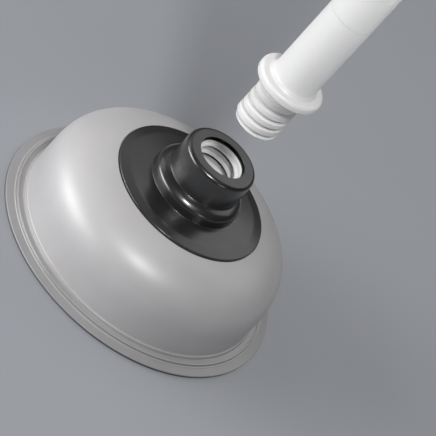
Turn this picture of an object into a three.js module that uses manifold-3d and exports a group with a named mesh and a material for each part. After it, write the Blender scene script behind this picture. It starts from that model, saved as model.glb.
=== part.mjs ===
// A toilet plunger with its handle unscrewed and lifted off the cup.
// Millimetres, +Z up along the plunger's axis, origin at the middle of the brim's flat underside.
import * as THREE from "three";
import { ParametricGeometry } from "three/addons/geometries/ParametricGeometry.js";
import { mergeVertices } from "three/addons/utils/BufferGeometryUtils.js";
import Module from "manifold-3d";

// Driving dimensions.
const BRIM_RADIUS = 75;
const BELL_RADIUS = 65.5;
const BELL_SQUARENESS = 3.03; // exponent of the superellipse that rounds the bell over
const BELL_SPRING_Z = 15; // where the straight lower wall starts to round over
const BELL_RISE = 33.6; // from there to the crown
const WALL = 4;
const CROWN_WALL = 5;
const LIP_THICKNESS = 2.4;
const STEP_RADIUS = 70; // where the brim's lip steps up towards the bell
const CLEARANCE = 0.3; // between pieces that touch or nest
const DISC_RADIUS = 40.2;
const DISC_THICKNESS = 1.5;
const POCKET_DEPTH = 0.9; // the boot's disc lies in a shallow pocket in the bell
const RING_RADIUS = 23.6;
const RING_TOP_Z = 57.1; // where it meets the collar
const RING_SHOULDER = { radius: 17.1, z: 49.3, rounding: 8 }; // the arc over its shoulder
const RING_FILLET = 0.6;
const COLLAR_RADIUS = 19.05;
const COLLAR_TOP_Z = 73;
const COLLAR_EDGE_RADIUS = 2.4;
const BORE_RADIUS = 12.3;
const BORE_LIP = 1.7; // how far the insert's mouth lies below the collar's top
const INSERT_RADIUS = 15;
const FOOT_RADIUS = 24;
const FOOT_THICKNESS = 2.5;
const FLOOR_THICKNESS = 2.6;
const SOCKET_FLOOR_Z = 45.2;
const ANCHOR_RIB = { z: 61, width: 2, height: 1.4 }; // keeps the insert in the boot
const THREAD_PITCH = 5.08; // five turns an inch
const THREAD_RADIUS = 11.5;
const THREAD_DEPTH = 1.4;
const THREAD_ROOT_WIDTH = 4; // of the ridge, along the axis
const THREAD_CREST_WIDTH = 2.6;
const THREAD_LENGTH = 25.8; // from the flange to the tip
const THREAD_RELIEF_TURNS = 0.875; // from the flange to where the ridge has faded out
const THREAD_FADE_TURNS = 0.3;
const FLANGE_RADIUS = 17.15;
const FLANGE_THICKNESS = 4.4;
const SHAFT_RADIUS = 11.55;
const SHAFT_WALL = 2;
const CORE_WALL = 0.9;
const NECK_LENGTH = 50; // from the flange's underside to where the tube starts
const SPIGOT_LENGTH = 34;
const ASSEMBLED_HEIGHT = 500; // with the handle screwed home
const HANDLE_LIFT = 52.2; // how far the handle is lifted from home
const CAP_LENGTH = 40;
const CAP_PLUG_LENGTH = 26;
const HANGING_HOLE_WIDTH = 8;
const HANGING_HOLE_LENGTH = 14;
const HANGING_HOLE_END = 9; // from the hole to the top of the cap

const BELL_SEGMENTS = 48;
const NECK_SEGMENTS = 32;
const SHAFT_SEGMENTS = 24;

// Worked-out dimensions. The handle's own z starts at its flange's underside.
const INSERT_TOP_Z = COLLAR_TOP_Z - BORE_LIP;
const TOP_Z = ASSEMBLED_HEIGHT - COLLAR_TOP_Z;
const TUBE_END_Z = TOP_Z - CAP_LENGTH;
const THREAD_ROOT_RADIUS = THREAD_RADIUS - THREAD_DEPTH;
const TUBE_BORE_RADIUS = SHAFT_RADIUS - SHAFT_WALL;
const CORE_RADIUS = TUBE_BORE_RADIUS - CLEARANCE;
const CORE_BORE_RADIUS = CORE_RADIUS - CORE_WALL;
const SPIGOT_RADIUS = CORE_BORE_RADIUS - CLEARANCE;

const wasm = await Module();
wasm.setup();

// Solids ------------------------------------------------------------------------------------

// A closed geometry as a solid: vertices merged, and triangles that have shrunk to a line left out.
function solidOf(geometry) {
  const bare = geometry.index ? geometry.toNonIndexed() : geometry.clone();
  bare.deleteAttribute("normal");
  bare.deleteAttribute("uv");
  const merged = mergeVertices(bare, 1e-4);
  const kept = [];
  for (let i = 0; i < merged.index.count; i += 3) {
    const [a, b, c] = merged.index.array.slice(i, i + 3);
    if (a !== b && b !== c && c !== a) kept.push(a, b, c);
  }
  return new wasm.Manifold(
    new wasm.Mesh({
      numProp: 3,
      vertProperties: merged.attributes.position.array,
      triVerts: new Uint32Array(kept),
    }),
  );
}

// A solid as a geometry with flat facets.
function geometryOf(solid) {
  const mesh = solid.getMesh();
  const indexed = new THREE.BufferGeometry();
  indexed.setAttribute("position", new THREE.BufferAttribute(mesh.vertProperties, 3));
  indexed.setIndex(new THREE.BufferAttribute(mesh.triVerts, 1));
  const flat = indexed.toNonIndexed();
  flat.computeVertexNormals();
  return flat;
}

// Turns an outline of [radius, z] points about +Z. It runs anticlockwise, with the axis on its left.
function revolved(outline, segments) {
  const points = outline.map(([radius, z]) => new THREE.Vector2(radius, z));
  const [first] = points;
  const last = points[points.length - 1];
  if (first.x > 0 || last.x > 0) points.push(first.clone());
  return new THREE.LatheGeometry(points, segments).rotateX(Math.PI / 2);
}

// Points of a circular arc in an outline, angles in degrees from the outward direction.
function arc(centreRadius, centreZ, radius, fromDegrees, toDegrees, steps) {
  return Array.from({ length: steps + 1 }, (_, i) => {
    const angle = THREE.MathUtils.degToRad(
      THREE.MathUtils.lerp(fromDegrees, toDegrees, i / steps),
    );
    return [centreRadius + radius * Math.cos(angle), centreZ + radius * Math.sin(angle)];
  });
}

// The helical ridge of a right-hand thread, as a tube of four-cornered section that runs up the
// helix and shrinks to a point at both ends. It reaches 1 mm in behind the root. Its turns are
// counted from originZ, where it crosses +X, and both ends fall on a whole step of the helix.
function threadRidge({ rootRadius, crestRadius, extraWidth, fromTurn, toTurn, originZ }) {
  const baseRadius = rootRadius - 1;
  const turns = toTurn - fromTurn;
  const fade = THREAD_FADE_TURNS / turns;
  const rootHalf = (THREAD_ROOT_WIDTH + extraWidth) / 2;
  const crestHalf = (THREAD_CREST_WIDTH + extraWidth) / 2;
  const corners = [
    [baseRadius, -rootHalf],
    [crestRadius, -crestHalf],
    [crestRadius, crestHalf],
    [baseRadius, rootHalf],
  ];
  function pointOnRidge(u, v, target) {
    const fullness = Math.min(1, u / fade, (1 - u) / fade);
    const [cornerRadius, cornerZ] = corners[Math.round(v * corners.length) % corners.length];
    const radius = THREE.MathUtils.lerp(baseRadius, cornerRadius, fullness);
    const turn = THREE.MathUtils.lerp(fromTurn, toTurn, u);
    const angle = 2 * Math.PI * turn;
    const z = originZ + THREAD_PITCH * turn + fullness * cornerZ;
    target.set(radius * Math.cos(angle), radius * Math.sin(angle), z);
  }
  const steps = Math.round(turns * SHAFT_SEGMENTS);
  return solidOf(new ParametricGeometry(pointOnRidge, steps, corners.length));
}

// Outlines ----------------------------------------------------------------------------------

// Height of the bell's outside, or of its inside for the wall thicknesses given, at a radius.
function bellZ(radius, wall = 0, crownWall = 0) {
  const cosine = (radius / (BELL_RADIUS - wall)) ** (BELL_SQUARENESS / 2);
  const sine = Math.sqrt(Math.max(0, 1 - cosine * cosine));
  return BELL_SPRING_Z + (BELL_RISE - crownWall) * sine ** (2 / BELL_SQUARENESS);
}

// The bell's rounding from the straight wall up to a radius, in even steps of the superellipse.
function bellCurve(toRadius, wall, crownWall, steps) {
  const full = BELL_RADIUS - wall;
  const end = Math.acos((toRadius / full) ** (BELL_SQUARENESS / 2));
  return Array.from({ length: steps + 1 }, (_, i) => {
    const radius = full * Math.cos((end * i) / steps) ** (2 / BELL_SQUARENESS);
    return [radius, bellZ(radius, wall, crownWall)];
  });
}

// Pieces ------------------------------------------------------------------------------------

function suctionCup() {
  const insideRadius = BELL_RADIUS - WALL;
  const pocketRadius = DISC_RADIUS + CLEARANCE;
  const holeRadius = INSERT_RADIUS + CLEARANCE + 0.1;
  const seatRadius = FOOT_RADIUS + 1.5;
  const seatZ = bellZ(seatRadius, WALL, CROWN_WALL);
  const pocketRadii = [pocketRadius, 34, 27, 20, holeRadius];
  const brim = [
    [insideRadius + 1, 0],
    [BRIM_RADIUS - 1, 0],
    [BRIM_RADIUS - 0.3, 0.3],
    [BRIM_RADIUS, 1],
    [BRIM_RADIUS, LIP_THICKNESS - 1],
    [BRIM_RADIUS - 0.3, LIP_THICKNESS - 0.3],
    [BRIM_RADIUS - 1, LIP_THICKNESS],
    [STEP_RADIUS + 0.3, 3.6],
    [STEP_RADIUS, 4.2],
    [BELL_RADIUS + 1.2, 5.9],
    [BELL_RADIUS + 0.3, 6.6],
    [BELL_RADIUS, 8],
  ];
  const outside = bellCurve(pocketRadius, 0, 0, 10);
  const pocket = pocketRadii.map((radius) => [radius, bellZ(radius) - POCKET_DEPTH]);
  const inside = bellCurve(seatRadius, WALL, CROWN_WALL, 8).reverse();
  return revolved(
    [...brim, ...outside, ...pocket, [holeRadius, seatZ], ...inside, [insideRadius, 1]],
    BELL_SEGMENTS,
  );
}

function neckBoot() {
  const boreRadius = INSERT_RADIUS + CLEARANCE;
  const liningZ = INSERT_TOP_Z + CLEARANCE;
  const grooveRadius = boreRadius + ANCHOR_RIB.height;
  const grooveHalf = ANCHOR_RIB.width / 2 + CLEARANCE;
  const undersideZ = (radius) => bellZ(radius) - POCKET_DEPTH + CLEARANCE;
  const filletRadius = RING_RADIUS + RING_FILLET;
  const filletZ = undersideZ(filletRadius) + DISC_THICKNESS + RING_FILLET;
  const underside = [boreRadius, 20, 27, 34, DISC_RADIUS].map((r) => [r, undersideZ(r)]);
  const discTop = [DISC_RADIUS - 0.4, 36, 31.5].map((r) => [r, undersideZ(r) + DISC_THICKNESS]);
  const fillet = arc(filletRadius, filletZ, RING_FILLET, 270, 180, 3);
  const ring = arc(RING_SHOULDER.radius, RING_SHOULDER.z, RING_SHOULDER.rounding, 36, 74, 6);
  const collarEdge = arc(
    COLLAR_RADIUS - COLLAR_EDGE_RADIUS,
    COLLAR_TOP_Z - COLLAR_EDGE_RADIUS,
    COLLAR_EDGE_RADIUS,
    0,
    90,
    5,
  );
  const outside = [
    ...underside,
    [DISC_RADIUS, undersideZ(DISC_RADIUS) + DISC_THICKNESS - 0.4],
    ...discTop,
    ...fillet,
    ...ring,
    [COLLAR_RADIUS, RING_TOP_Z],
    ...collarEdge,
  ];
  const bore = [
    [BORE_RADIUS, COLLAR_TOP_Z],
    [BORE_RADIUS, liningZ],
    [boreRadius, liningZ],
    [boreRadius, ANCHOR_RIB.z + grooveHalf],
    [grooveRadius, ANCHOR_RIB.z + grooveHalf],
    [grooveRadius, ANCHOR_RIB.z - grooveHalf],
    [boreRadius, ANCHOR_RIB.z - grooveHalf],
  ];
  return revolved([...outside, ...bore], NECK_SEGMENTS);
}

function threadedInsert() {
  const footTopZ = bellZ(FOOT_RADIUS + 1.5, WALL, CROWN_WALL) - CLEARANCE;
  const footZ = footTopZ - FOOT_THICKNESS;
  const ribRadius = INSERT_RADIUS + ANCHOR_RIB.height;
  const recessRadius = 11;
  const blank = revolved(
    [
      [0, SOCKET_FLOOR_Z - FLOOR_THICKNESS],
      [recessRadius, SOCKET_FLOOR_Z - FLOOR_THICKNESS],
      [recessRadius, footZ],
      [FOOT_RADIUS - 0.8, footZ],
      [FOOT_RADIUS, footZ + 0.8],
      [FOOT_RADIUS, footTopZ - 0.5],
      [FOOT_RADIUS - 0.5, footTopZ],
      [INSERT_RADIUS, footTopZ],
      [INSERT_RADIUS, ANCHOR_RIB.z - ANCHOR_RIB.width / 2],
      [ribRadius, ANCHOR_RIB.z - ANCHOR_RIB.width / 2],
      [ribRadius, ANCHOR_RIB.z],
      [INSERT_RADIUS, ANCHOR_RIB.z + ANCHOR_RIB.width / 2],
      [INSERT_RADIUS, INSERT_TOP_Z],
      [0, INSERT_TOP_Z],
    ],
    NECK_SEGMENTS,
  );
  const minorRadius = THREAD_ROOT_RADIUS + CLEARANCE;
  const majorRadius = THREAD_RADIUS + CLEARANCE;
  const aboveZ = INSERT_TOP_Z + 1;
  const drill = revolved(
    [
      [0, SOCKET_FLOOR_Z],
      [minorRadius, SOCKET_FLOOR_Z],
      [minorRadius, INSERT_TOP_Z - 1.4],
      [majorRadius, INSERT_TOP_Z - 0.2],
      [BORE_RADIUS - 0.3, INSERT_TOP_Z],
      [BORE_RADIUS - 0.3, aboveZ],
      [0, aboveZ],
    ],
    SHAFT_SEGMENTS,
  );
  const reach = revolved(
    [
      [0, SOCKET_FLOOR_Z],
      [INSERT_RADIUS - 1, SOCKET_FLOOR_Z],
      [INSERT_RADIUS - 1, aboveZ],
      [0, aboveZ],
    ],
    SHAFT_SEGMENTS,
  );
  const tap = threadRidge({
    rootRadius: minorRadius,
    crestRadius: majorRadius,
    extraWidth: 2 * CLEARANCE,
    fromTurn: -16.75,
    toTurn: -9.5,
    originZ: COLLAR_TOP_Z + HANDLE_LIFT,
  });
  const hollow = solidOf(drill).add(tap.intersect(solidOf(reach)));
  return geometryOf(solidOf(blank).subtract(hollow));
}

// The handle's pieces, with z counted from the underside of the flange.
function handleEndFitting() {
  const spigotTopZ = NECK_LENGTH + SPIGOT_LENGTH;
  const tipRadius = THREAD_RADIUS - 0.5;
  const filletRadius = 1.6;
  const flangeEdge = 1.2;
  const core = revolved(
    [
      [0, -THREAD_LENGTH],
      [THREAD_ROOT_RADIUS - 0.4, -THREAD_LENGTH],
      [THREAD_ROOT_RADIUS, -THREAD_LENGTH + 0.4],
      [THREAD_ROOT_RADIUS, 0],
      [FLANGE_RADIUS - flangeEdge, 0],
      ...arc(FLANGE_RADIUS - flangeEdge, flangeEdge, flangeEdge, -60, 0, 2),
      ...arc(FLANGE_RADIUS - flangeEdge, FLANGE_THICKNESS - flangeEdge, flangeEdge, 0, 90, 3),
      [SHAFT_RADIUS + filletRadius, FLANGE_THICKNESS],
      ...arc(
        SHAFT_RADIUS + filletRadius,
        FLANGE_THICKNESS + filletRadius,
        filletRadius,
        240,
        180,
        3,
      ),
      [SHAFT_RADIUS, NECK_LENGTH],
      [SPIGOT_RADIUS, NECK_LENGTH],
      [SPIGOT_RADIUS, spigotTopZ - 1.5],
      [SPIGOT_RADIUS - 1.5, spigotTopZ],
      [0, spigotTopZ],
    ],
    SHAFT_SEGMENTS,
  );
  const envelope = revolved(
    [
      [0, -THREAD_LENGTH],
      [tipRadius, -THREAD_LENGTH],
      [THREAD_RADIUS + 0.3, -THREAD_LENGTH + 0.9],
      [THREAD_RADIUS + 0.3, 0],
      [0, 0],
    ],
    SHAFT_SEGMENTS,
  );
  const ridge = threadRidge({
    rootRadius: THREAD_ROOT_RADIUS,
    crestRadius: THREAD_RADIUS,
    extraWidth: 0,
    fromTurn: -6,
    toTurn: -THREAD_RELIEF_TURNS,
    originZ: 0,
  });
  return geometryOf(solidOf(core).add(ridge.intersect(solidOf(envelope))));
}

function tube(outerRadius, boreRadius, fromZ, toZ) {
  return revolved(
    [
      [boreRadius, fromZ],
      [outerRadius, fromZ],
      [outerRadius, toZ],
      [boreRadius, toZ],
    ],
    SHAFT_SEGMENTS,
  );
}

function handleTube() {
  return tube(SHAFT_RADIUS, TUBE_BORE_RADIUS, NECK_LENGTH + CLEARANCE, TUBE_END_Z);
}

function handleCore() {
  return tube(CORE_RADIUS, CORE_BORE_RADIUS, NECK_LENGTH + 1, TUBE_END_Z - 1);
}

function handleTopCap() {
  const seamZ = TUBE_END_Z + CLEARANCE;
  const plugZ = seamZ - CAP_PLUG_LENGTH;
  const crownRadius = 7;
  const body = revolved(
    [
      [0, plugZ],
      [SPIGOT_RADIUS - 1.5, plugZ],
      [SPIGOT_RADIUS, plugZ + 1.5],
      [SPIGOT_RADIUS, seamZ],
      [SHAFT_RADIUS, seamZ],
      ...arc(SHAFT_RADIUS - crownRadius, TOP_Z - crownRadius, crownRadius, 0, 90, 7),
      [0, TOP_Z],
    ],
    SHAFT_SEGMENTS,
  );
  const halfStraight = (HANGING_HOLE_LENGTH - HANGING_HOLE_WIDTH) / 2;
  const halfWidth = HANGING_HOLE_WIDTH / 2;
  const slot = new THREE.Shape()
    .absarc(0, halfStraight, halfWidth, 0, Math.PI)
    .absarc(0, -halfStraight, halfWidth, Math.PI, 2 * Math.PI);
  const through = new THREE.ExtrudeGeometry(slot, {
    depth: 4 * SHAFT_RADIUS,
    bevelEnabled: false,
    curveSegments: 8,
  });
  through.translate(0, 0, -2 * SHAFT_RADIUS);
  through.rotateX(Math.PI / 2);
  through.translate(0, 0, TOP_Z - HANGING_HOLE_END - HANGING_HOLE_LENGTH / 2);
  return geometryOf(solidOf(body).subtract(solidOf(through)));
}

// Materials and assembly --------------------------------------------------------------------

function finish(color, roughness, metalness = 0) {
  return new THREE.MeshStandardMaterial({ color, roughness, metalness });
}

const cupRubber = finish(0xb2b2b3, 0.5);
const bootRubber = finish(0x27272a, 0.36);
const insertPlastic = finish(0xe2e2e2, 0.45);
const whitePlastic = finish(0xe0dfdd, 0.38);
const coreSteel = finish(0x9a9c9e, 0.35, 1);

function piece(name, geometry, material) {
  const mesh = new THREE.Mesh(geometry, material);
  mesh.name = name;
  return mesh;
}

const neck = new THREE.Group();
neck.add(piece("neck_boot", neckBoot(), bootRubber));
neck.add(piece("threaded_insert", threadedInsert(), insertPlastic));

const handle = new THREE.Group();
handle.position.z = COLLAR_TOP_Z + HANDLE_LIFT;
handle.add(piece("handle_end_fitting", handleEndFitting(), whitePlastic));
handle.add(piece("handle_tube", handleTube(), whitePlastic));
handle.add(piece("handle_core", handleCore(), coreSteel));
handle.add(piece("handle_top_cap", handleTopCap(), whitePlastic));

const plunger = new THREE.Group();
plunger.add(piece("suction_cup", suctionCup(), cupRubber));
plunger.add(neck);
plunger.add(handle);

export default plunger;
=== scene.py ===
"""The looks of a toilet plunger whose handle is unscrewed and lifted off, around its CAD frame.

Metres, +Z up along the plunger's axis, origin at the middle of the brim's flat underside.
"""

import math

import bpy
from mathutils import Matrix, Vector


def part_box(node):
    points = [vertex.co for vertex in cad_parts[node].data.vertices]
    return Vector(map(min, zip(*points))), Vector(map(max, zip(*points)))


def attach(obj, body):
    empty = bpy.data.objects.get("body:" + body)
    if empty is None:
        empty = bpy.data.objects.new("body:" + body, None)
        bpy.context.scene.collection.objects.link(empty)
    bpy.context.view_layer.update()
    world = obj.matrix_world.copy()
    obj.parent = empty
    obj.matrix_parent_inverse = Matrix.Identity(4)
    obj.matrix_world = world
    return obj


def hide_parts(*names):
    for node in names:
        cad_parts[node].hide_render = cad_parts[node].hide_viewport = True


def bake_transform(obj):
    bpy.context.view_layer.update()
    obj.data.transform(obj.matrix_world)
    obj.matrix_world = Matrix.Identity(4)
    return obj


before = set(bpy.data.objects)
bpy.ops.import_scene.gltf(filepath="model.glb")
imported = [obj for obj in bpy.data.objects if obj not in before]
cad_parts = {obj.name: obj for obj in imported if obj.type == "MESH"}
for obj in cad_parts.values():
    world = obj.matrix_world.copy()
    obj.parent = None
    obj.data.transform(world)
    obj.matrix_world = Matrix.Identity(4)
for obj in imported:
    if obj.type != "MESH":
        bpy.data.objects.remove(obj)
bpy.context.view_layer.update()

MM = 0.001

# Where the CAD pieces lie.
_, CUP_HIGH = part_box("suction_cup")
_, BOOT_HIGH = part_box("neck_boot")
INSERT_LOW, INSERT_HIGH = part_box("threaded_insert")
FITTING_LOW, FITTING_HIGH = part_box("handle_end_fitting")
TUBE_LOW, TUBE_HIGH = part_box("handle_tube")
CORE_LOW, CORE_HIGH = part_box("handle_core")
CAP_LOW, CAP_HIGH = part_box("handle_top_cap")

# The bell.
BRIM_RADIUS = CUP_HIGH.x
BELL_RADIUS = 65.5 * MM
BELL_SQUARENESS = 3.03  # exponent of the superellipse that rounds the bell over
BELL_SPRING_Z = 15 * MM  # where the straight lower wall starts to round over
BELL_RISE = 33.6 * MM  # from there to the crown
WALL = 4 * MM
CROWN_WALL = 5 * MM
STEP_RADIUS = 70 * MM  # where the brim steps up towards the bell
POCKET_DEPTH = 0.9 * MM  # of the pocket that the boot's disc lies in

# The boot on its neck.
DISC_RADIUS = BOOT_HIGH.x
DISC_THICKNESS = 1.7 * MM
DISC_GAP = 0.15 * MM  # under the disc
RING_RADIUS = 23.65 * MM
RING_TOP_Z = 57.1 * MM  # where the ring meets the collar
COLLAR_RADIUS = 19.05 * MM
COLLAR_TOP_Z = BOOT_HIGH.z
BORE_RADIUS = 12.3 * MM

# The insert and the thread.
INSERT_RADIUS = 15 * MM
INSERT_GAP = 0.3 * MM  # round the insert
FOOT_RADIUS = INSERT_HIGH.x
FOOT_THICKNESS = 2.5 * MM
SOCKET_FLOOR_Z = 45.2 * MM
SOCKET_FLOOR_THICKNESS = 2.6 * MM
THREAD_PITCH = 5.08 * MM
THREAD_RADIUS = 11.5 * MM
THREAD_DEPTH = 1.5 * MM
THREAD_CLEARANCE = 0.2 * MM
THREAD_START = 0.875  # turns from the flange to where the handle's thread starts
THREAD_FADE = 0.35  # turns over which it comes up to its full height
CREST_WIDTH = 2.4 * MM  # of the thread's ridge, along the axis
ROOT_WIDTH = 4.7 * MM
RELIEF_DEPTH = 1.4 * MM  # of the fine groove beside the ridge

# The handle.
FLANGE_RADIUS = FITTING_HIGH.x
FLANGE_Z = 125.2 * MM
FLANGE_THICKNESS = 4.4 * MM
SHAFT_RADIUS = TUBE_HIGH.x
SHAFT_BORE = 9.55 * MM
CORE_BORE = 8.35 * MM
SPIGOT_RADIUS = 8 * MM  # of the two plugs that hold the core
SEAM_GAP = 0.12 * MM  # between the shaft's tube and the mouldings at its ends
SLOT_WIDTH = 8 * MM  # of the hole that the plunger hangs by
SLOT_LENGTH = 14 * MM
SLOT_DROP = 16 * MM  # from the cap's top to the slot's middle

ROUND = 208  # columns of a turned piece
SLIM_ROUND = 128  # and of a slim one
THREAD_ROW = 0.1 * MM  # height of a row of a threaded wall


# Outlines -----------------------------------------------------------------------------------


def rounded(corners, steps=7):
    """An outline from corners of (radius, z) or (radius, z, rounding), each rounding an arc."""
    points = []
    for i, corner in enumerate(corners):
        here = Vector(corner[:2])
        rounding = corner[2] if len(corner) == 3 else 0
        if not rounding:
            points.append(here)
            continue
        before = (Vector(corners[i - 1][:2]) - here).normalized()
        after = (Vector(corners[(i + 1) % len(corners)][:2]) - here).normalized()
        half_angle = before.angle(after) / 2
        middle = here + (before + after).normalized() * (rounding / math.sin(half_angle))
        start = here + before * (rounding / math.tan(half_angle)) - middle
        sweep = start.angle_signed(here + after * (rounding / math.tan(half_angle)) - middle)
        for step in range(steps + 1):
            turn = Matrix.Rotation(-sweep * step / steps, 2)
            points.append(middle + turn @ start)
    return points


def spaced(points, closed, edge=0.15 * MM, longest=2.5 * MM):
    """Adds points to the long straight stretches, close to their ends and evenly between."""
    result = []
    count = len(points) if closed else len(points) - 1
    for i in range(count):
        here, there = points[i], points[(i + 1) % len(points)]
        length = (there - here).length
        result.append(here)
        if length < 4 * edge:
            continue
        inner = max(1, math.ceil((length - 2 * edge) / longest))
        for step in range(inner + 1):
            along = edge + (length - 2 * edge) * step / inner
            result.append(here.lerp(there, along / length))
    if not closed:
        result.append(points[-1])
    return result


def bell_z(radius, wall=0, crown_wall=0):
    """Height of the bell's outside, or of its inside for the wall thicknesses given."""
    cosine = (radius / (BELL_RADIUS - wall)) ** (BELL_SQUARENESS / 2)
    sine = math.sqrt(max(0, 1 - cosine * cosine))
    return BELL_SPRING_Z + (BELL_RISE - crown_wall) * sine ** (2 / BELL_SQUARENESS)


def bell_curve(to_radius, wall, crown_wall, steps):
    """The bell's rounding from its straight wall up to a radius."""
    full = BELL_RADIUS - wall
    end = math.acos((to_radius / full) ** (BELL_SQUARENESS / 2))
    points = []
    for step in range(steps + 1):
        radius = full * math.cos(end * step / steps) ** (2 / BELL_SQUARENESS)
        points.append(Vector((radius, bell_z(radius, wall, crown_wall))))
    return points


# Meshes -------------------------------------------------------------------------------------


def turned(name, outline, material, columns=ROUND, radius_at=None):
    """A closed mesh of revolution. The outline runs anticlockwise, with the axis on its left.
    It closes on itself, or starts and ends on the axis. radius_at(radius, z, angle) may change
    a point's radius, as a thread does."""
    open_ended = outline[0].x < 1e-9 and outline[-1].x < 1e-9
    vertices, rows = [], []
    for radius, z in outline:
        if radius < 1e-9:
            rows.append([len(vertices)] * columns)
            vertices.append((0, 0, z))
            continue
        first = len(vertices)
        for column in range(columns):
            angle = 2 * math.pi * column / columns
            r = radius_at(radius, z, angle) if radius_at else radius
            vertices.append((r * math.cos(angle), r * math.sin(angle), z))
        rows.append(list(range(first, first + columns)))
    faces = []
    for i in range(len(rows) - 1 if open_ended else len(rows)):
        low, high = rows[i], rows[(i + 1) % len(rows)]
        for column in range(columns):
            beside = (column + 1) % columns
            corners = (low[column], low[beside], high[beside], high[column])
            faces.append(tuple(dict.fromkeys(corners)))
    mesh = bpy.data.meshes.new(name)
    mesh.from_pydata(vertices, [], faces)
    mesh.polygons.foreach_set("use_smooth", [True] * len(mesh.polygons))
    mesh.update()
    piece = bpy.data.objects.new(name, mesh)
    bpy.context.scene.collection.objects.link(piece)
    mesh.materials.append(material)
    return piece


def smoothstep(low, high, value):
    t = min(1, max(0, (value - low) / (high - low)))
    return t * t * (3 - 2 * t)


def ridge_height(z, angle, widening=0):
    """How far the thread's ridge stands up at a point, from 0 at its root to 1 on its crest, and
    which turn of the ridge that is, counted down from the flange."""
    turns = (z - FLANGE_Z) / THREAD_PITCH - angle / (2 * math.pi)
    ridge = round(turns)
    off_centre = abs(turns - ridge) * THREAD_PITCH
    height = 1 - smoothstep(CREST_WIDTH / 2 + widening, ROOT_WIDTH / 2 + widening, off_centre)
    return height, ridge + angle / (2 * math.pi)


def relief_depth(z, angle, above_ridge, width):
    """The fine moulded groove that runs beside the thread's ridge, that far above its middle."""
    turns = (z - FLANGE_Z - above_ridge) / THREAD_PITCH - angle / (2 * math.pi)
    off_centre = abs(turns - round(turns)) * THREAD_PITCH
    return RELIEF_DEPTH * (1 - smoothstep(0.3 * width, 0.5 * width, off_centre))


# Materials ----------------------------------------------------------------------------------


class Shader:
    """Builds a node material around one Principled shader."""

    def __init__(self, name, roughness, **values):
        self.material = bpy.data.materials.new(name)
        self.material.use_nodes = True
        self.nodes = self.material.node_tree.nodes
        self.links = self.material.node_tree.links
        self.principled = self.nodes["Principled BSDF"]
        self.principled.inputs["Roughness"].default_value = roughness
        for socket, value in values.items():
            self.principled.inputs[socket.replace("_", " ")].default_value = value
        self.coordinates = self.nodes.new("ShaderNodeTexCoord").outputs["Object"]

    def noise(self, scale, detail=3, stretch=(1, 1, 1)):
        mapping = self.nodes.new("ShaderNodeMapping")
        mapping.inputs["Scale"].default_value = stretch
        self.links.new(self.coordinates, mapping.inputs["Vector"])
        texture = self.nodes.new("ShaderNodeTexNoise")
        texture.inputs["Scale"].default_value = scale
        texture.inputs["Detail"].default_value = detail
        self.links.new(mapping.outputs["Vector"], texture.inputs["Vector"])
        return texture.outputs["Fac"]

    def ramp(self, factor, *stops):
        """A colour ramp of (position, colour) stops."""
        ramp = self.nodes.new("ShaderNodeValToRGB")
        elements = ramp.color_ramp.elements
        while len(elements) < len(stops):
            elements.new(0.5)
        for element, (position, colour) in zip(elements, stops):
            element.position = position
            element.color = (*colour, 1)
        self.links.new(factor, ramp.inputs["Fac"])
        return ramp.outputs["Color"]

    def between(self, factor, low, high, from_low=0.3, from_high=0.7):
        """The factor's middle range, spread from low to high."""
        spread = self.nodes.new("ShaderNodeMapRange")
        spread.inputs["From Min"].default_value = from_low
        spread.inputs["From Max"].default_value = from_high
        spread.inputs["To Min"].default_value = low
        spread.inputs["To Max"].default_value = high
        self.links.new(factor, spread.inputs["Value"])
        return spread.outputs["Result"]

    def radius(self):
        """Distance from the plunger's axis."""
        flat = self.nodes.new("ShaderNodeVectorMath")
        flat.operation = "MULTIPLY"
        flat.inputs[1].default_value = (1, 1, 0)
        self.links.new(self.coordinates, flat.inputs[0])
        length = self.nodes.new("ShaderNodeVectorMath")
        length.operation = "LENGTH"
        self.links.new(flat.outputs["Vector"], length.inputs[0])
        return length.outputs["Value"]

    def height(self):
        """Height above the brim's underside."""
        parts = self.nodes.new("ShaderNodeSeparateXYZ")
        self.links.new(self.coordinates, parts.inputs[0])
        return parts.outputs["Z"]

    def mixed(self, factor, colour, other):
        """A colour, turning into another one as the factor goes to 1."""
        mix = self.nodes.new("ShaderNodeMixRGB")
        self.links.new(factor, mix.inputs["Fac"])
        self.links.new(colour, mix.inputs["Color1"])
        self.links.new(other, mix.inputs["Color2"])
        return mix.outputs["Color"]

    def colour(self, output):
        self.links.new(output, self.principled.inputs["Base Color"])

    def roughness(self, output):
        self.links.new(output, self.principled.inputs["Roughness"])

    def bump(self, height, depth, strength=1.0):
        """Adds a bump of that depth in metres, on top of any before it."""
        bump = self.nodes.new("ShaderNodeBump")
        bump.inputs["Strength"].default_value = strength
        bump.inputs["Distance"].default_value = depth
        self.links.new(height, bump.inputs["Height"])
        normal = self.principled.inputs["Normal"]
        if normal.links:
            self.links.new(normal.links[0].from_socket, bump.inputs["Normal"])
        self.links.new(bump.outputs["Normal"], normal)


def grey(value, warmth=0.0):
    return (value * (1 + warmth), value, value * (1 - warmth))


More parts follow.
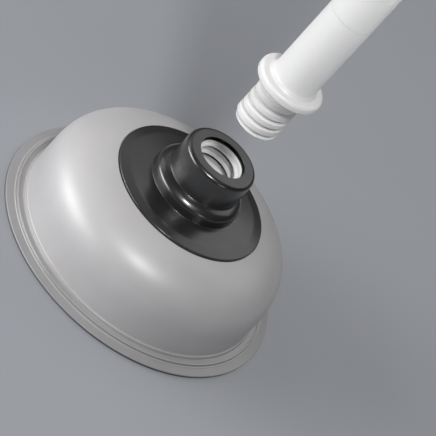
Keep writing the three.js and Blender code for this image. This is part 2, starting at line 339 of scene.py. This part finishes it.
def cup_rubber():
    """Satin grey rubber, darker on the brim, with painted shade at the bell's foot, in the brim's
    channel and, darkest, in the crease of its step.
    """
    shader = Shader("cup_rubber", roughness=0.5, Coat_Weight=0.68, Coat_Roughness=0.39, Coat_IOR=1.7)
    mottle = shader.noise(scale=38, detail=6)
    base_tone = shader.ramp(mottle, (0.3, (0.458, 0.447, 0.452)), (0.7, (0.498, 0.487, 0.492)))
    darker_and_shaded = shader.ramp(mottle, (0.3, (0.22, 0.214, 0.218)), (0.7, (0.25, 0.244, 0.248)))
    # How much painted shade and darkening it gets, along the way from the bell's foot to the brim's
    # edge: painted shade in the crease at the bell's foot, in the channel and, most, in the crease of
    # the step; the brim's outer band is darker.
    from_foot = shader.between(shader.radius(), 0, 1, BELL_RADIUS, BRIM_RADIUS)
    foot_and_channel_shade = ((0, 0), (0.02, 0.35), (0.08, 0.35), (0.11, 0.6), (0.37, 0.6))
    # Painted shade: the crease of the step is darkest.
    steps = ((0.39, 0.3), (0.435, 0.3), (0.455, 0.95), (0.49, 0.95), (0.51, 0.35), (0.56, 0.4))
    lip = ((0.6, 0.7), (1, 0.7))
    bands = [(position, grey(share)) for position, share in foot_and_channel_shade + steps + lip]
    darkening_and_shade = shader.ramp(from_foot, *bands)
    shader.colour(shader.mixed(darkening_and_shade, base_tone, darker_and_shaded))
    shader.roughness(shader.between(shader.noise(scale=120, detail=4), 0.46, 0.54))
    shader.bump(shader.noise(scale=30, detail=2), depth=0.25 * MM, strength=0.3)
    shader.bump(shader.noise(scale=1800, detail=2), depth=0.03 * MM, strength=0.35)
    return shader.material


def boot_rubber():
    """Dark rubber, as glossy as it comes from a polished mould."""
    shader = Shader(
        "boot_rubber",
        roughness=0.36,
        Specular_IOR_Level=0.35,
        Coat_Weight=0.9,
        Coat_Roughness=0.2,
        Coat_IOR=1.6,
    )
    mottle = shader.noise(scale=60, detail=5)
    shader.colour(shader.ramp(mottle, (0.3, grey(0.012)), (0.7, grey(0.018))))
    shader.roughness(shader.between(shader.noise(scale=150, detail=4), 0.32, 0.4))
    shader.bump(shader.noise(scale=1500, detail=2), depth=0.02 * MM, strength=0.3)
    return shader.material


def insert_plastic():
    """Light plastic, with painted shade in the fine grooves behind the socket's thread."""
    shader = Shader("insert_plastic", roughness=0.36)
    flow = shader.noise(scale=90, detail=4, stretch=(1, 1, 3))
    base_tone = shader.ramp(flow, (0.3, grey(0.78)), (0.7, grey(0.82)))
    groove = THREAD_RADIUS + THREAD_CLEARANCE
    # Painted shade: near black in the fine grooves beyond the thread's major radius, above the
    # socket's floor.
    groove_shade = shader.between(shader.radius(), 0, 0.95, groove + 0.05 * MM, groove + 0.5 * MM)
    shaded = shader.mixed(groove_shade, base_tone, shader.ramp(flow, (0.3, grey(0.015)), (0.7, grey(0.03))))
    above_foot = shader.between(shader.height(), 0, 1, SOCKET_FLOOR_Z, SOCKET_FLOOR_Z + 1 * MM)
    shader.colour(shader.mixed(above_foot, base_tone, shaded))
    shader.roughness(shader.between(shader.noise(scale=300, detail=3), 0.32, 0.42))
    shader.bump(shader.noise(scale=1200, detail=2), depth=0.015 * MM, strength=0.3)
    return shader.material


def handle_plastic():
    """White plastic that lets a little light in."""
    shader = Shader(
        "handle_plastic",
        roughness=0.34,
        Subsurface_Weight=0.3,
        Subsurface_Scale=2 * MM,
        Subsurface_Radius=(1, 0.95, 0.9),
    )
    flow = shader.noise(scale=50, detail=4, stretch=(1, 1, 0.25))
    shader.colour(shader.ramp(flow, (0.3, grey(0.72, 0.006)), (0.7, grey(0.75, 0.006))))
    shader.roughness(shader.between(shader.noise(scale=200, detail=4), 0.3, 0.38))
    shader.bump(shader.noise(scale=60, detail=2, stretch=(1, 1, 0.3)), depth=0.06 * MM, strength=0.25)
    shader.bump(shader.noise(scale=1400, detail=2), depth=0.012 * MM, strength=0.3)
    return shader.material


def core_steel():
    """Steel tube, drawn along its length."""
    shader = Shader("core_steel", roughness=0.35, Metallic=1.0)
    drawn = shader.noise(scale=900, detail=3, stretch=(1, 1, 0.02))
    shader.colour(shader.ramp(drawn, (0.3, grey(0.5)), (0.7, grey(0.6))))
    shader.roughness(shader.between(drawn, 0.28, 0.42))
    shader.bump(drawn, depth=0.01 * MM, strength=0.4)
    return shader.material


# Pieces -------------------------------------------------------------------------------------


def suction_cup():
    inside = BELL_RADIUS - WALL
    pocket_edge = DISC_RADIUS + 0.25 * MM
    hole = INSERT_RADIUS + INSERT_GAP
    seat_radius = FOOT_RADIUS + 1.5 * MM
    seat_z = bell_z(seat_radius, WALL, CROWN_WALL)
    brim = rounded(
        [
            (inside, 2 * MM),
            (inside + 1.2 * MM, 0, 0.5 * MM),
            (STEP_RADIUS - 1.6 * MM, 0, 0.2 * MM),
            (STEP_RADIUS - 1 * MM, 0.35 * MM, 0.2 * MM),
            (STEP_RADIUS - 0.2 * MM, 0.35 * MM, 0.2 * MM),
            (STEP_RADIUS + 0.4 * MM, 0, 0.2 * MM),
            (BRIM_RADIUS - 2 * MM, 0, 0.6 * MM),
            (BRIM_RADIUS, 1.4 * MM, 0.25 * MM),
            (BRIM_RADIUS, 2.1 * MM, 0.35 * MM),
            (STEP_RADIUS + 1 * MM, 2.9 * MM, 0.2 * MM),
            (STEP_RADIUS + 0.8 * MM, 3.25 * MM, 0.15 * MM),
            (STEP_RADIUS + 0.3 * MM, 3.3 * MM, 0.15 * MM),
            (STEP_RADIUS + 0.1 * MM, 3.15 * MM, 0.15 * MM),
            (STEP_RADIUS - 0.25 * MM, 4.1 * MM, 0.25 * MM),
            (STEP_RADIUS - 0.75 * MM, 4.15 * MM, 0.2 * MM),
            (STEP_RADIUS - 1 * MM, 3.65 * MM, 0.2 * MM),
            (BELL_RADIUS + 1.1 * MM, 3.85 * MM, 0.3 * MM),
            (BELL_RADIUS + 0.75 * MM, 5.2 * MM, 0.3 * MM),
            (BELL_RADIUS + 0.2 * MM, 5.45 * MM, 0.2 * MM),
            (BELL_RADIUS, 5.9 * MM, 0.3 * MM),
            (BELL_RADIUS, BELL_SPRING_Z - 1 * MM),
        ]
    )[1:]
    crown = [Vector((r, bell_z(r) - POCKET_DEPTH)) for r in (pocket_edge - 0.1 * MM, 30 * MM, 22 * MM)]
    outside = bell_curve(pocket_edge + 0.5 * MM, 0, 0, 120)
    lip = rounded(
        [
            (pocket_edge + 0.5 * MM, bell_z(pocket_edge + 0.5 * MM)),
            (pocket_edge, bell_z(pocket_edge), 0.25 * MM),
            tuple(crown[0]),
        ]
    )
    seat = [Vector((hole, crown[-1].y)), Vector((hole, seat_z)), Vector((seat_radius, seat_z))]
    inner = bell_curve(seat_radius, WALL, CROWN_WALL, 40)[::-1]
    outline = spaced(brim + outside + lip[1:] + crown[1:] + seat + inner[1:], closed=True)
    return turned("cup_bell", outline, cup_rubber())


def neck_boot():
    bore = INSERT_RADIUS + INSERT_GAP
    lining_z = INSERT_HIGH.z - 0.5 * MM
    under = POCKET_DEPTH - DISC_GAP
    underside = [Vector((r, bell_z(r) - under)) for r in (bore, 20 * MM, 27 * MM, 34 * MM)]
    top = rounded(
        [
            (34 * MM, bell_z(34 * MM) - under),
            (DISC_RADIUS, bell_z(DISC_RADIUS) - under, 0.2 * MM),
            (DISC_RADIUS, bell_z(DISC_RADIUS) - under + DISC_THICKNESS, 0.45 * MM),
            (35 * MM, bell_z(35 * MM) - under + DISC_THICKNESS, 20 * MM),
            (RING_RADIUS, bell_z(RING_RADIUS) - under + DISC_THICKNESS, 0.25 * MM),
            (RING_RADIUS, RING_TOP_Z - 3.15 * MM, 3 * MM),
            (RING_RADIUS - 2.15 * MM, RING_TOP_Z - 0.7 * MM, 6.4 * MM),
            (COLLAR_RADIUS, RING_TOP_Z, 0.35 * MM),
            (COLLAR_RADIUS, COLLAR_TOP_Z, 2.3 * MM),
            (BORE_RADIUS, COLLAR_TOP_Z, 0.2 * MM),
            (BORE_RADIUS, COLLAR_TOP_Z - 0.35 * MM, 0.12 * MM),
            (BORE_RADIUS + 2 * MM, COLLAR_TOP_Z - 0.5 * MM, 0.2 * MM),
            (BORE_RADIUS + 2 * MM, lining_z + 0.4 * MM, 0.2 * MM),
            (BORE_RADIUS + 0.15 * MM, lining_z + 0.3 * MM),
            (BORE_RADIUS + 0.15 * MM, lining_z),
            (bore, lining_z),
        ],
        steps=12,
    )
    return turned("boot", spaced(underside + top[1:], closed=True), boot_rubber())


def threaded_insert():
    foot_z = INSERT_LOW.z
    foot_top = foot_z + FOOT_THICKNESS
    mouth_z = INSERT_HIGH.z - 0.3 * MM
    thread_top = mouth_z - 0.4 * MM
    minor = THREAD_RADIUS - THREAD_DEPTH + THREAD_CLEARANCE
    major = THREAD_RADIUS + THREAD_CLEARANCE
    recess_z = SOCKET_FLOOR_Z - SOCKET_FLOOR_THICKNESS
    outside = rounded(
        [
            (0, recess_z),
            (11 * MM, recess_z, 0.6 * MM),
            (11 * MM, foot_z, 0.3 * MM),
            (FOOT_RADIUS, foot_z, 0.8 * MM),
            (FOOT_RADIUS, foot_top, 0.5 * MM),
            (INSERT_RADIUS, foot_top, 0.3 * MM),
            (INSERT_RADIUS, mouth_z - 0.4 * MM, 0.3 * MM),
            (BORE_RADIUS - 0.1 * MM, mouth_z - 0.4 * MM),
            (BORE_RADIUS - 0.1 * MM, mouth_z, 0.12 * MM),
            (BORE_RADIUS - 0.45 * MM, mouth_z, 0.12 * MM),
            (major, thread_top, 0.12 * MM),
            (major, thread_top - 0.15 * MM),
        ]
    )
    rows = round((thread_top - SOCKET_FLOOR_Z) / THREAD_ROW)
    socket = [Vector((major, thread_top - THREAD_ROW * row)) for row in range(2, rows + 1)]
    floor = [Vector((minor * share, SOCKET_FLOOR_Z)) for share in (0.99, 0.6, 0.3, 0)]

    def radius_at(radius, z, angle):
        if not math.isclose(radius, major, rel_tol=1e-5):
            return radius
        height, _ = ridge_height(z, angle, widening=THREAD_CLEARANCE)
        mouth = smoothstep(thread_top - 1.6 * MM, thread_top - 0.3 * MM, z)
        relief = relief_depth(z, angle, above_ridge=1 * MM, width=1 * MM) * (1 - mouth)
        return minor + (major - minor) * max(height, mouth) + relief

    outline = spaced(outside, closed=False) + socket + floor
    return turned("socket_insert", outline, insert_plastic(), radius_at=radius_at)


def handle_end_fitting():
    tip_z = FITTING_LOW.z
    root = THREAD_RADIUS - THREAD_DEPTH
    rows = round((FLANGE_Z - tip_z) / THREAD_ROW)
    thread = [Vector((root, tip_z + THREAD_ROW * row)) for row in range(rows - 4)]
    tip = [Vector((root * share, tip_z)) for share in (0, 0.3, 0.6, 0.9, 0.97)]
    neck_top = TUBE_LOW.z - SEAM_GAP
    body = rounded(
        [
            (root, FLANGE_Z - 0.6 * MM),
            (root, FLANGE_Z, 0.4 * MM),
            (FLANGE_RADIUS, FLANGE_Z, 1.2 * MM),
            (FLANGE_RADIUS, FLANGE_Z + FLANGE_THICKNESS, 1.5 * MM),
            (SHAFT_RADIUS + 1.5 * MM, FLANGE_Z + FLANGE_THICKNESS + 0.15 * MM, 0.4 * MM),
            (SHAFT_RADIUS + 0.9 * MM, FLANGE_Z + FLANGE_THICKNESS + 0.8 * MM, 0.5 * MM),
            (SHAFT_RADIUS, FLANGE_Z + FLANGE_THICKNESS + 1.4 * MM, 2 * MM),
            (SHAFT_RADIUS, neck_top, 0.25 * MM),
            (SPIGOT_RADIUS, neck_top),
            (SPIGOT_RADIUS, FITTING_HIGH.z, 1.5 * MM),
            (0, FITTING_HIGH.z),
        ],
        steps=10,
    )

    def radius_at(radius, z, angle):
        if not math.isclose(radius, root, rel_tol=1e-5):
            return radius
        height, turn = ridge_height(z, angle)
        fullness = smoothstep(0, THREAD_FADE, -THREAD_START - turn)
        chamfer = THREAD_RADIUS - 0.5 * MM + (z - tip_z) * 0.7
        relief = relief_depth(z, angle, above_ridge=-THREAD_PITCH / 2, width=0.6 * MM) * fullness
        return min(root + THREAD_DEPTH * height * fullness, chamfer) - relief

    outline = tip + thread + spaced(body, closed=False)
    return turned("handle_fitting", outline, handle_plastic(), radius_at=radius_at)


def tube(name, outer, bore, low, high, material):
    """An open tube, its edges just taken off."""
    corners = [
        (outer, low, 0.25 * MM),
        (outer, high, 0.25 * MM),
        (bore, high, 0.15 * MM),
        (bore, low, 0.15 * MM),
    ]
    outline = spaced(rounded(corners), closed=True, longest=20 * MM)
    return turned(name, outline, material, columns=SLIM_ROUND)


def rounded_slot(width, length, reach, flare):
    """A cutter for a slot along Y, with mouths that flare out in a curve."""
    columns, rows = 48, []
    for step in range(-12, 13):
        depth = reach * step / 12
        overshoot = max(0, abs(depth) - (reach - flare)) / flare
        rows.append((depth, flare * (1 - math.sqrt(1 - min(1, overshoot) ** 2))))
    vertices, faces = [], []
    for depth, extra in rows:
        for column in range(columns):
            angle = 2 * math.pi * column / columns
            x = (width / 2 + extra) * math.cos(angle)
            z = (width / 2 + extra) * math.sin(angle)
            straight = math.copysign((length - width) / 2, math.sin(angle))
            vertices.append((x, depth, z + straight))
    for row in range(len(rows) - 1):
        for column in range(columns):
            beside = (column + 1) % columns
            low, high = row * columns, (row + 1) * columns
            faces.append((low + column, high + column, high + beside, low + beside))
    faces.append(tuple(range(columns)))
    faces.append(tuple(reversed(range((len(rows) - 1) * columns, len(rows) * columns))))
    mesh = bpy.data.meshes.new("slot")
    mesh.from_pydata(vertices, [], faces)
    return bpy.data.objects.new("slot", mesh)


def handle_top_cap():
    top = CAP_HIGH.z
    seam = TUBE_HIGH.z + SEAM_GAP
    outline = rounded(
        [
            (0, CAP_LOW.z),
            (SPIGOT_RADIUS, CAP_LOW.z, 1.5 * MM),
            (SPIGOT_RADIUS, seam),
            (SHAFT_RADIUS, seam, 0.25 * MM),
            (SHAFT_RADIUS, top, 7 * MM),
            (0, top),
        ],
        steps=14,
    )
    outline = spaced(outline, closed=False)
    cap = turned("hanging_cap", outline, handle_plastic(), columns=SLIM_ROUND)
    cutter = rounded_slot(SLOT_WIDTH, SLOT_LENGTH, reach=12 * MM, flare=2.2 * MM)
    cutter.location.z = top - SLOT_DROP
    bpy.context.scene.collection.objects.link(cutter)
    cut = cap.modifiers.new("slot", "BOOLEAN")
    cut.operation = "DIFFERENCE"
    cut.solver = "EXACT"
    cut.object = cutter
    bpy.context.view_layer.objects.active = cap
    bpy.ops.object.modifier_apply(modifier=cut.name)
    bpy.data.objects.remove(cutter)
    return cap


# Scene --------------------------------------------------------------------------------------


def camera():
    """At the photograph's viewing angle: above and in front, rolled so the axis leans right."""
    aim = Vector((17.5, 20.8, 31.8)) * MM
    distance = 1.322
    elevation = math.radians(34.32)
    roll = math.radians(42.93)
    data = bpy.data.cameras.new("camera")
    data.sensor_width = 36
    data.lens = 226.9
    view = bpy.data.objects.new("camera", data)
    bpy.context.scene.collection.objects.link(view)
    back = Vector((0, -math.cos(elevation), math.sin(elevation)))
    turn = Matrix.Rotation(math.pi / 2 - elevation, 4, "X") @ Matrix.Rotation(roll, 4, "Z")
    view.matrix_world = Matrix.Translation(aim + back * distance) @ turn
    bpy.context.scene.camera = view


def soft_light(name, direction, distance, width, height, power, aim_z=40 * MM, spread=180):
    """A rectangular softbox that faces a point on the plunger's axis from that direction."""
    data = bpy.data.lights.new(name, "AREA")
    data.shape = "RECTANGLE"
    data.size = width
    data.size_y = height
    data.energy = power
    data.spread = math.radians(spread)
    lamp = bpy.data.objects.new(name, data)
    away = Vector(direction).normalized()
    lamp.location = Vector((0, 0, aim_z)) + away * distance
    lamp.rotation_euler = away.to_track_quat("Z", "Y").to_euler()
    bpy.context.scene.collection.objects.link(lamp)


def studio():
    shader = Shader("floor", roughness=0.7)
    mottle = shader.noise(scale=3, detail=2)
    shader.colour(shader.ramp(mottle, (0.3, (0.35, 0.363, 0.39)), (0.7, (0.37, 0.383, 0.41))))
    bpy.ops.mesh.primitive_plane_add(size=12)
    floor = bpy.context.object
    floor.name = "floor"
    floor.data.materials.append(shader.material)
    world = bpy.data.worlds.new("studio")
    world.use_nodes = True
    background = world.node_tree.nodes["Background"]
    background.inputs["Color"].default_value = (0.8, 0.84, 0.9, 1)
    background.inputs["Strength"].default_value = 0.04
    bpy.context.scene.world = world
    soft_light("key", (-0.92, -0.38, 0.2), 2.6, 2.8, 1, 18, spread=80)
    soft_light("softbox", (0.1, -0.5, 0.86), 2.4, 0.36, 0.44, 31)
    soft_light("left", (-0.8, 0.3, 0.5), 2.6, 1.2, 1.2, 5)
    soft_light("back", (0.3, 0.65, 0.7), 2.8, 2.4, 1.6, 11)
    soft_light("back_left", (-0.35, 0.65, 0.65), 2.8, 1.8, 1.2, 3)
    soft_light("handle_fill", (0.75, -0.6, 0), 0.6, 0.1, 0.36, 0.3, aim_z=400 * MM, spread=50)


bpy.context.scene.view_settings.view_transform = "Standard"
camera()
studio()

bell = suction_cup()
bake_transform(bell)
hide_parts("suction_cup")

boot = neck_boot()
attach(boot, "neck")
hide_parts("neck_boot")

insert = threaded_insert()
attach(insert, "neck")
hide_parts("threaded_insert")

fitting = handle_end_fitting()
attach(fitting, "handle")
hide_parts("handle_end_fitting")

shaft = tube("shaft_tube", SHAFT_RADIUS, SHAFT_BORE, TUBE_LOW.z, TUBE_HIGH.z, handle_plastic())
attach(shaft, "handle")
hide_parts("handle_tube")

core = tube("core_tube", CORE_HIGH.x, CORE_BORE, CORE_LOW.z, CORE_HIGH.z, core_steel())
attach(core, "core")
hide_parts("handle_core")

cap = handle_top_cap()
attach(cap, "handle")
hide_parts("handle_top_cap")
